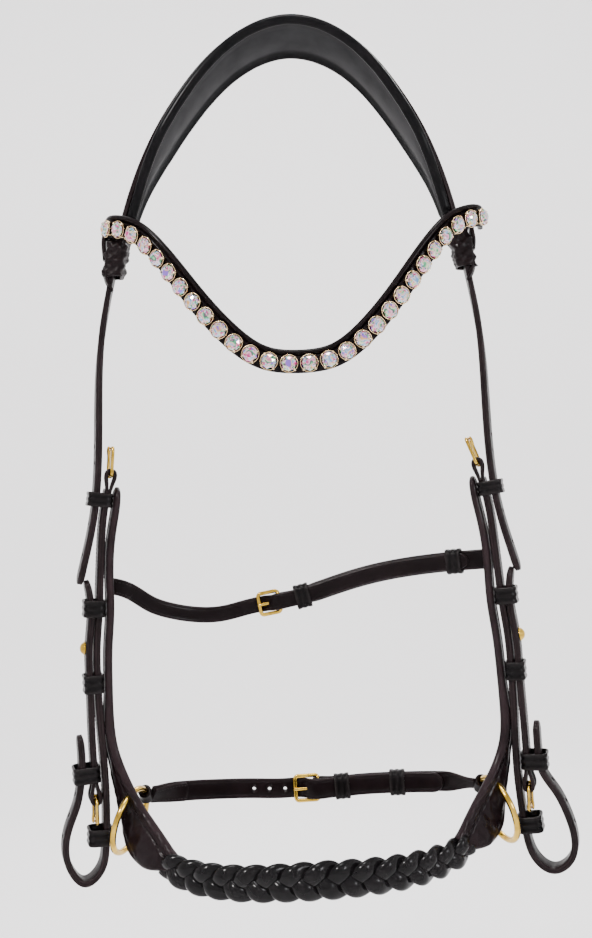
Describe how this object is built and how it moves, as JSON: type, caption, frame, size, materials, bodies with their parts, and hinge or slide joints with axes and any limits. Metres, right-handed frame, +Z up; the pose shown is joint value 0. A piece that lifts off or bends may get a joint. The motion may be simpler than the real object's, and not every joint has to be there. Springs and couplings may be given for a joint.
{
  "type": "snaffle bridle",
  "caption": "Snaffle bridle without a bit: padded headpiece, deep curved crystal browband, buckled cheekpieces, plaited padded noseband, jaw strap, chin strap and bit strap loops.",
  "frame": {"origin": "middle of the headpiece underside, on the lining at the top of the crown, where a hook or the poll carries the bridle", "axes": "+Z up, -Y to the front (the nose), +X and -X to the two cheeks; +X is the viewer's right in front of the bridle"},
  "size_m": [0.4102, 0.1502, 0.6796],
  "materials": {
    "strap_leather": "satin",
    "padded_leather": "soft satin",
    "lining": "matt",
    "plait_leather": "glossy",
    "brass": "polished",
    "setting_gold": "polished pale gold",
    "crystal": "faceted with an iridescent coating"
  },
  "bodies": {
    "bridle": {"headpiece_strap": "strap_leather", "headpiece_pad": "lining", "plaited_noseband": "plait_leather", "jaw_strap_billet": "strap_leather", "jaw_strap_chape": "strap_leather", "jaw_buckle_frame": "brass", "jaw_buckle_tongue": "brass", "jaw_fixed_keeper": "strap_leather", "chin_strap_billet": "strap_leather", "chin_strap_chape": "strap_leather", "chin_buckle_frame": "brass", "chin_buckle_tongue": "brass", "chin_fixed_keeper": "strap_leather", "cheekpiece_left": "strap_leather", "stud_strap_left": "strap_leather", "stud_left": "brass", "noseband_side_left": "padded_leather", "top_keeper_left": "strap_leather", "lower_cheek_keeper_left": "strap_leather", "bit_upper_keeper_left": "strap_leather", "cheekpiece_right": "strap_leather", "stud_strap_right": "strap_leather", "stud_right": "brass", "noseband_side_right": "padded_leather", "top_keeper_right": "strap_leather", "lower_cheek_keeper_right": "strap_leather", "bit_upper_keeper_right": "strap_leather"},
    "browband_set": {"browband": "strap_leather", "crystal_settings": "setting_gold", "crystals": "crystal"},
    "top_frame_left": {"top_buckle_frame_left": "brass"},
    "top_tongue_left": {"top_buckle_tongue_left": "brass"},
    "low_frame_left": {"low_buckle_frame_left": "brass"},
    "low_tongue_left": {"low_buckle_tongue_left": "brass"},
    "ring_left": {"noseband_ring_left": "brass"},
    "cheek_keeper_slider_left": {"upper_cheek_keeper_left": "strap_leather"},
    "bit_keeper_slider_left": {"bit_lower_keeper_left": "strap_leather"},
    "top_frame_right": {"top_buckle_frame_right": "brass"},
    "top_tongue_right": {"top_buckle_tongue_right": "brass"},
    "low_frame_right": {"low_buckle_frame_right": "brass"},
    "low_tongue_right": {"low_buckle_tongue_right": "brass"},
    "ring_right": {"noseband_ring_right": "brass"},
    "cheek_keeper_slider_right": {"upper_cheek_keeper_right": "strap_leather"},
    "bit_keeper_slider_right": {"bit_lower_keeper_right": "strap_leather"},
    "jaw_keeper_slider": {"jaw_running_keeper": "strap_leather"},
    "chin_keeper_slider": {"chin_running_keeper": "strap_leather"}
  },
  "joints": [
    {"name": "browband_slide", "type": "slide", "parent": "bridle", "child": "browband_set", "axis": [0, 0, 1], "range_m": [-0.003, 0.004]},
    {"name": "top_buckle_swing_left", "type": "hinge", "parent": "bridle", "child": "top_frame_left", "pos_m": [-0.15382, 0.00038, -0.341], "axis": [-0.309, 0.9511, 0], "range_deg": [-5, 40]},
    {"name": "top_tongue_swing_left", "type": "hinge", "parent": "top_frame_left", "child": "top_tongue_left", "pos_m": [-0.15382, 0.00038, -0.341], "axis": [0.309, -0.9511, 0], "range_deg": [0, 8]},
    {"name": "low_buckle_swing_left", "type": "hinge", "parent": "bridle", "child": "low_frame_left", "pos_m": [-0.17235, -0.00564, -0.597], "axis": [-0.309, 0.9511, 0], "range_deg": [-4, 15]},
    {"name": "low_tongue_swing_left", "type": "hinge", "parent": "low_frame_left", "child": "low_tongue_left", "pos_m": [-0.17235, -0.00564, -0.597], "axis": [-0.309, 0.9511, 0], "range_deg": [0, 20]},
    {"name": "ring_turn_left", "type": "hinge", "parent": "bridle", "child": "ring_left", "pos_m": [-0.14543, -0.005, -0.616], "axis": [-0.9077, 0.3304, 0.2588], "continuous": true},
    {"name": "cheek_keeper_slide_left", "type": "slide", "parent": "bridle", "child": "cheek_keeper_slider_left", "axis": [0.0381, 0.0124, 0.9992], "range_m": [-0.004, 0.004]},
    {"name": "bit_keeper_slide_left", "type": "slide", "parent": "bridle", "child": "bit_keeper_slider_left", "axis": [0.0389, 0.0127, 0.9992], "range_m": [-0.004, 0.003]},
    {"name": "top_buckle_swing_right", "type": "hinge", "parent": "bridle", "child": "top_frame_right", "pos_m": [0.14191, 0.00425, -0.341], "axis": [-0.309, -0.9511, 0], "range_deg": [-20, 40]},
    {"name": "top_tongue_swing_right", "type": "hinge", "parent": "top_frame_right", "child": "top_tongue_right", "pos_m": [0.14191, 0.00425, -0.341], "axis": [0.309, 0.9511, 0], "range_deg": [0, 20]},
    {"name": "low_buckle_swing_right", "type": "hinge", "parent": "bridle", "child": "low_frame_right", "pos_m": [0.17284, -0.00579, -0.597], "axis": [-0.309, -0.9511, 0], "range_deg": [-4, 15]},
    {"name": "low_tongue_swing_right", "type": "hinge", "parent": "low_frame_right", "child": "low_tongue_right", "pos_m": [0.17284, -0.00579, -0.597], "axis": [-0.309, -0.9511, 0], "range_deg": [0, 20]},
    {"name": "ring_turn_right", "type": "hinge", "parent": "bridle", "child": "ring_right", "pos_m": [0.14757, -0.005, -0.616], "axis": [0.9077, 0.3304, 0.2588], "continuous": true},
    {"name": "cheek_keeper_slide_right", "type": "slide", "parent": "bridle", "child": "cheek_keeper_slider_right", "axis": [-0.078, 0.0254, 0.9966], "range_m": [-0.004, 0.004]},
    {"name": "bit_keeper_slide_right", "type": "slide", "parent": "bridle", "child": "bit_keeper_slider_right", "axis": [-0.1267, 0.0412, 0.9911], "range_m": [-0.004, 0.003]},
    {"name": "jaw_keeper_slide", "type": "slide", "parent": "bridle", "child": "jaw_keeper_slider", "axis": [0.9265, -0.3665, 0.0846], "range_m": [-0.006, 0.005]},
    {"name": "chin_keeper_slide", "type": "slide", "parent": "bridle", "child": "chin_keeper_slider", "axis": [0.9882, -0.1471, 0.0424], "range_m": [-0.006, 0.006]}
  ]
}
